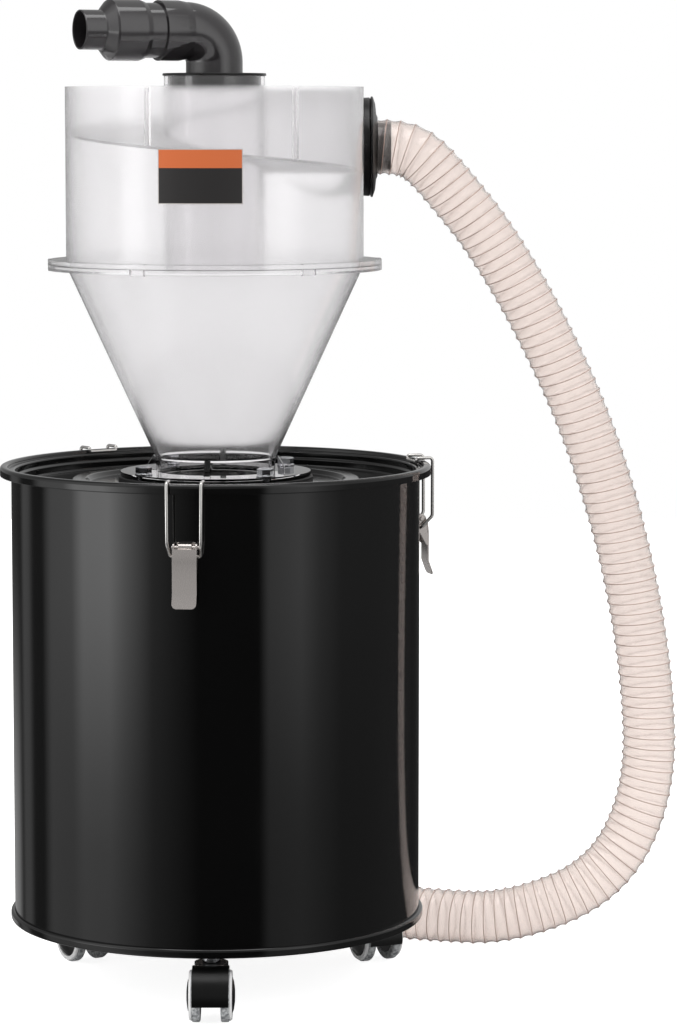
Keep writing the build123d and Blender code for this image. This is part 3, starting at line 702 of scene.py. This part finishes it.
# The vortex tube is a length of clear extruded pipe. It hangs through the spiral roof, and the
# outlet's cap closes its mouth.
TUBE_R = 46.5
WALL = 3.0
TUBE_LOW = 664.7
TUBE_TOP = 844.0
pipe = turned(
    "vortex_pipe",
    [
        (TUBE_R - WALL, TUBE_LOW, 0.5),
        (TUBE_R, TUBE_LOW, 0.5),
        (TUBE_R, TUBE_TOP, 0.5),
        (TUBE_R - WALL, TUBE_TOP, 0.5),
    ],
)
vortex_pipe = built("vortex_pipe", pipe, clear, "separator", ["vortex_tube"])

# The black cap in the tube's mouth carries a grey PVC elbow, a stub of pipe and a reducer with a
# thin nozzle for the vacuum's hose. They are pushed together and glued.
# Black ABS from a polished mould has broad, soft highlights.
abs_black, tree, shader = finish("moulded_black_abs", "#0a0909", Roughness=0.3)
shader.inputs["Specular IOR Level"].default_value = 0.35
coords = add(tree, "ShaderNodeTexCoord")
mould = add(tree, "ShaderNodeTexNoise", {"Scale": 45.0, "Detail": 3.0}, [("Vector", coords, "Object")])
gloss = add(tree, "ShaderNodeMapRange", {"To Min": 0.22, "To Max": 0.38}, [("Value", mould, "Fac")])
tree.links.new(gloss.outputs["Result"], shader.inputs["Roughness"])

# Extruded and moulded PVC is dark grey and glossy, with faint streaks.
pvc, tree, shader = finish("grey_pvc", "#282628", Roughness=0.14)
shader.inputs["Specular IOR Level"].default_value = 0.9
coords = add(tree, "ShaderNodeTexCoord")
swirl = add(tree, "ShaderNodeTexNoise", {"Scale": 30.0, "Detail": 4.0}, [("Vector", coords, "Object")])
greys = add(tree, "ShaderNodeMix", {"data_type": "RGBA"}, [("Factor", swirl, "Fac")])
greys.inputs["A"].default_value = linear("#242223")
greys.inputs["B"].default_value = linear("#2c2a2c")
tree.links.new(greys.outputs["Result"], shader.inputs["Base Color"])
gloss = add(tree, "ShaderNodeMapRange", {"To Min": 0.08, "To Max": 0.16}, [("Value", swirl, "Fac")])
tree.links.new(gloss.outputs["Result"], shader.inputs["Roughness"])

ELBOW_R = 26.2
PIPE_R = 25.0
PIPE_IN = 22.6
OUTLET_Z = 885.0
cap = turned(
    "outlet_plug",
    [
        (ELBOW_R + 0.3, TUBE_TOP - 12.0, 0.3),
        (TUBE_R - WALL - 0.3, TUBE_TOP - 12.0, 0.8),
        (TUBE_R - WALL - 0.3, TUBE_TOP, 0),
        (TUBE_R + 1.3, TUBE_TOP, 0.5),
        (TUBE_R + 1.3, TUBE_TOP + 2.4, 0.8),
        (ELBOW_R + 0.3, TUBE_TOP + 2.4, 0.3),
    ],
)
outlet_plug = built("outlet_plug", cap, abs_black, "separator", ["outlet_cap"])

nozzle = next(m for m in frame["record"]["mounts"] if m["name"] == "vacuum_nozzle")
arm = Vector(nozzle["axis"])
arm_turn = Vector((0, 0, 1)).rotation_difference(arm).to_matrix().to_4x4()
arm_place = Matrix.Translation((0, 0, OUTLET_Z * MM)) @ arm_turn
stub = turned(
    "pipe_length",
    [
        (PIPE_IN, 34.5, 0.3),
        (PIPE_R, 34.5, 0.3),
        (PIPE_R, 87.0, 0.3),
        (PIPE_IN, 87.0, 0.3),
    ],
    arm_place,
    around=128,
)
pipe_length = built("pipe_length", stub, pvc, "separator", ["pipe_stub"])
reduced = turned(
    "nozzle_reducer",
    [
        (PIPE_R + 0.3, 71.5, 0.2),
        (26.0, 71.5, 0.4),
        (27.8, 76.5, 2.0),
        (27.8, 104.5, 1.0),
        (26.6, 106.0, 0.6),
        (19.0, 112.5, 0.6),
        (18.0, 113.5, 0.5),
        (18.0, 133.5, 0.5),
        (16.4, 133.5, 0.5),
        (16.4, 110.0, 1.0),
        (PIPE_IN, 102.0, 1.0),
        (PIPE_IN, 87.5, 0),
        (PIPE_R + 0.3, 87.5, 0),
    ],
    arm_place,
    around=128,
)
nozzle_reducer = built("nozzle_reducer", reduced, pvc, "separator", ["reducer"])
eased("elbow", pvc, 0.5, "separator")

# The inlet flange is one black moulding: a plug glued into the duct, two stepped discs and
# the spigot that the hose is pushed over.
eased("inlet_flange", abs_black, 0.5, "separator")

# The label is a strip of printed vinyl on the front of the chamber: an orange band over a black field
# inside a thin pale edge, with nothing printed on it. It has a light satin gloss.
LABEL_TURN = math.radians(266.4)
LABEL_HALF = 38.0
BAND = 17.0
EDGE = 0.8
vinyl, tree, shader = finish("printed_vinyl", "#1c1b1b", Roughness=0.35)
coords = add(tree, "ShaderNodeTexCoord")
low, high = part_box("blank_label")
side = add(tree, "ShaderNodeVectorMath", {"operation": "DOT_PRODUCT"}, [(0, coords, "Object")])
side.inputs[1].default_value = (-math.sin(LABEL_TURN), math.cos(LABEL_TURN), 0)
reach = add(tree, "ShaderNodeMath", {"operation": "ABSOLUTE"}, [(0, side, "Value")])
end = add(tree, "ShaderNodeMath", {"operation": "GREATER_THAN"}, [(0, reach, "Value")])
end.inputs[1].default_value = (LABEL_HALF - EDGE) * MM
split = add(tree, "ShaderNodeSeparateXYZ", {}, [("Vector", coords, "Object")])
level = add(tree, "ShaderNodeMath", {"operation": "SUBTRACT"}, [(0, split, "Z")])
level.inputs[1].default_value = (low[2] + high[2]) / 2
height = add(tree, "ShaderNodeMath", {"operation": "ABSOLUTE"}, [(0, level, "Value")])
ends = add(tree, "ShaderNodeMath", {"operation": "GREATER_THAN"}, [(0, height, "Value")])
ends.inputs[1].default_value = (high[2] - low[2]) / 2 - EDGE * MM
border = add(tree, "ShaderNodeMath", {"operation": "MAXIMUM"}, [(0, end, "Value"), (1, ends, "Value")])
band = add(tree, "ShaderNodeMath", {"operation": "GREATER_THAN"}, [(0, split, "Z")])
band.inputs[1].default_value = high[2] - BAND * MM
inks = add(tree, "ShaderNodeMix", {"data_type": "RGBA"}, [("Factor", band, "Value")])
inks.inputs["A"].default_value = linear("#282626")
inks.inputs["B"].default_value = linear("#d06a38")
printed = add(
    tree, "ShaderNodeMix", {"data_type": "RGBA"}, [("Factor", border, "Value"), ("A", inks, "Result")]
)
printed.inputs["B"].default_value = linear("#b9b3b0")
tree.links.new(printed.outputs["Result"], shader.inputs["Base Color"])
film_marks = add(tree, "ShaderNodeTexNoise", {"Scale": 90.0, "Detail": 3.0}, [("Vector", coords, "Object")])
gloss = add(tree, "ShaderNodeMapRange", {"To Min": 0.28, "To Max": 0.44}, [("Value", film_marks, "Fac")])
tree.links.new(gloss.outputs["Result"], shader.inputs["Roughness"])
frame["nodes"]["blank_label"].data.materials[0] = vinyl

# The hose is clear polyurethane film, faintly pink, on a helix of coppery spring wire. It is pushed
# over the spigot, falls in a long curve to the floor and goes on behind the drum.
HOSE_R = 26.5
PITCH = 10.4
FILM = 0.7
VALLEY = 1.6
HOSE_FLOOR = HOSE_R + 0.4
route = [
    (151.6, 88, 778.3),
    (175.6, 88, 778.3),
    (197.6, 89, 765.3),
    (222.1, 91, 737.3),
    (258, 95, 693),
    (303, 102, 619),
    (353, 111, 514),
    (391, 119, 394),
    (414.5, 126, 269),
    (419, 130, 154),
    (378, 128, 66),
    (283, 122, HOSE_FLOOR),
    (200, 140, HOSE_FLOOR),
    (128, 178, HOSE_FLOOR),
    (58, 198, HOSE_FLOOR),
    (-15, 207, HOSE_FLOOR),
    (-90, 205, HOSE_FLOOR),
    (-160, 190, HOSE_FLOOR),
]
curve = bpy.data.curves.new("hose_route", "CURVE")
curve.dimensions = "3D"
spline = curve.splines.new("NURBS")
spline.points.add(len(route) - 1)
for point, place in zip(spline.points, route):
    point.co = (*(Vector(place) * MM), 1)
spline.order_u = 3
spline.use_endpoint_u = True
spline.resolution_u = 40
guide = bpy.data.objects.new("hose_route", curve)
bpy.context.collection.objects.link(guide)
line = [v.co.copy() for v in bpy.data.meshes.new_from_object(guide).vertices]
bpy.data.objects.remove(guide)


def walked(points, step):
    """Places along a line, one every step, each with its distance, heading and a steady side direction."""
    lengths = [0.0]
    for one, two in zip(points, points[1:]):
        lengths.append(lengths[-1] + (two - one).length)
    places = []
    side = Vector((0, 1, 0))
    k = 0
    for i in range(int(lengths[-1] / step) + 1):
        far = i * step
        while k < len(points) - 2 and lengths[k + 1] < far:
            k += 1
        t = (far - lengths[k]) / max(lengths[k + 1] - lengths[k], 1e-9)
        here = points[k].lerp(points[k + 1], t)
        before = points[max(k - 1, 0)]
        after = points[min(k + 2, len(points) - 1)]
        heading = (after - before).normalized()
        side = (side - heading * side.dot(heading)).normalized()
        places.append((far, here, heading, side.copy()))
    return places


def corrugated(name, places, around):
    """A closed tube of thin film that is drawn in between the turns of its wire."""
    work = bmesh.new()
    skins = []
    for inset in (0.0, FILM):
        rows = []
        for far, here, heading, side in places:
            up = heading.cross(side)
            row = []
            for k in range(around):
                a = 2 * math.pi * k / around
                turn = (far / (PITCH * MM) + k / around) % 1.0
                radius = (HOSE_R - 0.2 - inset - VALLEY * (1 - (2 * turn - 1) ** 2)) * MM
                row.append(work.verts.new(here + (side * math.cos(a) + up * math.sin(a)) * radius))
            rows.append(row)
        skins.append(rows)
    for rows in skins:
        for one, two in zip(rows, rows[1:]):
            for k in range(around):
                j = (k + 1) % around
                work.faces.new((one[k], one[j], two[j], two[k]))
    for end in (0, -1):
        outer, inner = skins[0][end], skins[1][end]
        for k in range(around):
            j = (k + 1) % around
            work.faces.new((outer[k], outer[j], inner[j], inner[k]))
    bmesh.ops.recalc_face_normals(work, faces=work.faces)
    mesh = bpy.data.meshes.new(name)
    work.to_mesh(mesh)
    work.free()
    return mesh


# The film is clear and faintly pink, with fine creases that break up what is seen through it.
film, tree, shader = finish(
    "clear_polyurethane_film", "#fff7f3", Roughness=0.18, Transmission_Weight=0.95, IOR=1.45
)
shader.inputs["Specular IOR Level"].default_value = 0.3
coords = add(tree, "ShaderNodeTexCoord")
crease = add(tree, "ShaderNodeTexNoise", {"Scale": 250.0, "Detail": 2.0}, [("Vector", coords, "Object")])
bump = add(tree, "ShaderNodeBump", {"Strength": 0.1, "Distance": 0.0005}, [("Height", crease, "Fac")])
tree.links.new(bump.outputs["Normal"], shader.inputs["Normal"])

# The wire has a flash of copper, and draws a thin warm line at each turn.
copper, tree, shader = finish("coppered_spring_wire", "#c8a99d", Roughness=0.4, Metallic=0.3)
coords = add(tree, "ShaderNodeTexCoord")
drawn_marks = add(tree, "ShaderNodeTexNoise", {"Scale": 400.0}, [("Vector", coords, "Object")])
gloss = add(tree, "ShaderNodeMapRange", {"To Min": 0.3, "To Max": 0.5}, [("Value", drawn_marks, "Fac")])
tree.links.new(gloss.outputs["Result"], shader.inputs["Roughness"])

film_mesh = corrugated("hose_film", walked(line, PITCH * MM / 8), 40)
hose_film = built("hose_film", film_mesh, film, "separator", ["hose"], sharp=60)
TURN_STEPS = 36
coil = []
for far, here, heading, side in walked(line, PITCH * MM / TURN_STEPS):
    a = -2 * math.pi * far / (PITCH * MM)
    up = heading.cross(side)
    coil.append(here + (side * math.cos(a) + up * math.sin(a)) * (HOSE_R - 0.5) * MM)
wire_coil = built("hose_wire", drawn("hose_wire", coil, 0.4 * MM, sides=6), copper, "separator", [])

# A plain white studio: the floor and what lies behind it are white to the eye. In mirrors the room is
# dark but for a wide pale wall on the left and a dim one on the right, which the enamel shows as bands.
# The walls are lit at three heights: low by the floor, level with the drum, and above.
ground = bpy.data.meshes.new("floor")
ground.from_pydata([(-3, -0.5, 0), (3, -0.5, 0), (3, 4, 0), (-3, 4, 0)], [], [(0, 1, 2, 3)])
floor = bpy.data.objects.new("floor", ground)
bpy.context.collection.objects.link(floor)
floor.location.z = -0.0004
floor.visible_glossy = False
GLOW_SEEN = 0.86
GLOW_THROUGH = 0.3
white, tree, shader = finish("white_sweep", "#f2f2f2", Roughness=0.9)
rays = add(tree, "ShaderNodeLightPath")
through = add(tree, "ShaderNodeMath", {"operation": "MULTIPLY"}, [(0, rays, "Is Transmission Ray")])
through.inputs[1].default_value = GLOW_THROUGH
glow = add(
    tree, "ShaderNodeMath", {"operation": "MULTIPLY_ADD"}, [(0, rays, "Is Camera Ray"), (2, through, "Value")]
)
glow.inputs[1].default_value = GLOW_SEEN
shader.inputs["Emission Color"].default_value = (1, 1, 1, 1)
tree.links.new(glow.outputs["Value"], shader.inputs["Emission Strength"])
ground.materials.append(white)

world = bpy.data.worlds.new("studio")
bpy.context.scene.world = world
world.use_nodes = True
tree = world.node_tree
sky = tree.nodes["Background"]
rays = add(tree, "ShaderNodeLightPath")
seen = add(
    tree,
    "ShaderNodeMath",
    {"operation": "MAXIMUM"},
    [(0, rays, "Is Camera Ray"), (1, rays, "Is Transmission Ray")],
)
coords = add(tree, "ShaderNodeTexCoord")
aim = add(tree, "ShaderNodeVectorMath", {"operation": "NORMALIZE"}, [(0, coords, "Generated")])
split = add(tree, "ShaderNodeSeparateXYZ", {}, [("Vector", aim, "Vector")])
ahead = add(tree, "ShaderNodeMath", {"operation": "MULTIPLY"}, [(0, split, "Y")])
ahead.inputs[1].default_value = -1.0
bearing = add(tree, "ShaderNodeMath", {"operation": "ARCTAN2"}, [(0, split, "X"), (1, ahead, "Value")])
TURN = {"From Min": -math.pi, "From Max": math.pi}
around = add(tree, "ShaderNodeMapRange", TURN, [("Value", bearing, "Value")])
# Each row is a bearing in degrees from the front, with the walls' light low down, at the drum and above.
BRIGHTEST = 3.2
BEHIND = (0.05, 0.05, 0.5)
bands = []
for height in (1, 2, 3):
    band = add(tree, "ShaderNodeValToRGB", {}, [("Fac", around, "Result")])
    stops = band.color_ramp.elements
    for row in (
        (-165, 0.40, 0.05, 0.28),
        (-149, 0.45, 0.05, 0.28),
        (-141, 0.08, 0.05, 0.28),
        (-136, 0.25, 0.30, 0.28),
        (-129, 0.30, 0.33, 0.28),
        (-123, 0.07, 0.07, 0.28),
        (-112, 0.08, 0.08, 0.40),
        (-104, 0.50, 0.75, 0.60),
        (-86, 0.60, 1.10, 0.90),
        (-78, 0.80, 2.60, 1.20),
        (-60, 0.80, 3.00, 1.20),
        (-50, 0.60, 1.85, 1.00),
        (-34, 0.25, 0.45, 0.50),
        (-21, 0.14, 0.22, 0.40),
        (-8, 0.03, 0.04, 0.35),
        (26, 0.03, 0.035, 0.35),
        (31, 0.28, 0.75, 0.80),
        (50, 0.33, 1.00, 1.30),
        (62, 0.25, 0.50, 1.00),
        (76, 0.15, 0.24, 0.60),
        (110, 0.12, 0.15, 0.60),
        (133, 0.08, 0.085, 0.70),
        (150, 0.03, 0.035, 0.70),
    ):
        stop = stops.new((row[0] + 180) / 360)
        stop.color = (*[row[height] / BRIGHTEST] * 3, 1)
    for end in (stops[0], stops[-1]):
        end.color = (*[BEHIND[height - 1] / BRIGHTEST] * 3, 1)
    bands.append(band)
RISING = {"interpolation_type": "SMOOTHSTEP"}
DRUM_LEVEL = {**RISING, "From Min": -0.205, "From Max": -0.105}
ABOVE = {**RISING, "From Min": -0.075, "From Max": -0.045}
middle = add(tree, "ShaderNodeMapRange", DRUM_LEVEL, [("Value", split, "Z")])
upper = add(tree, "ShaderNodeMapRange", ABOVE, [("Value", split, "Z")])
lower = add(
    tree,
    "ShaderNodeMix",
    {},
    [("Factor", middle, "Result"), ("A", bands[0], "Color"), ("B", bands[1], "Color")],
)
whole = add(
    tree,
    "ShaderNodeMix",
    {},
    [("Factor", upper, "Result"), ("A", lower, "Result"), ("B", bands[2], "Color")],
)
walls = add(tree, "ShaderNodeMath", {"operation": "MULTIPLY"}, [(0, whole, "Result")])
walls.inputs[1].default_value = BRIGHTEST
SOFT_LIGHT = 0.75
mirror = add(
    tree, "ShaderNodeMix", {"A": SOFT_LIGHT}, [("Factor", rays, "Is Glossy Ray"), ("B", walls, "Value")]
)
level = add(tree, "ShaderNodeMix", {"B": 1.0}, [("Factor", seen, "Value"), ("A", mirror, "Result")])
sky.inputs["Color"].default_value = (1, 1, 1, 1)
tree.links.new(level.outputs["Result"], sky.inputs["Strength"])

for name, place, size, power in (
    ("left_box", (-2.12, -1.13, 0.92), (0.85, 1.8), 14),
    ("right_box", (1.48, -1.89, 0.92), (1.2, 1.8), 6),
    ("top_box", (0.0, -0.4, 2.6), (1.6, 1.6), 18),
):
    light = bpy.data.lights.new(name, "AREA")
    light.shape = "RECTANGLE"
    light.size, light.size_y = size
    light.energy = power
    lamp = bpy.data.objects.new(name, light)
    lamp.location = place
    lamp.rotation_euler = (Vector((0, 0, 0.5)) - Vector(place)).to_track_quat("-Z", "Y").to_euler()
    lamp.visible_glossy = name == "top_box"
    bpy.context.collection.objects.link(lamp)
bpy.context.scene.view_settings.view_transform = "Standard"
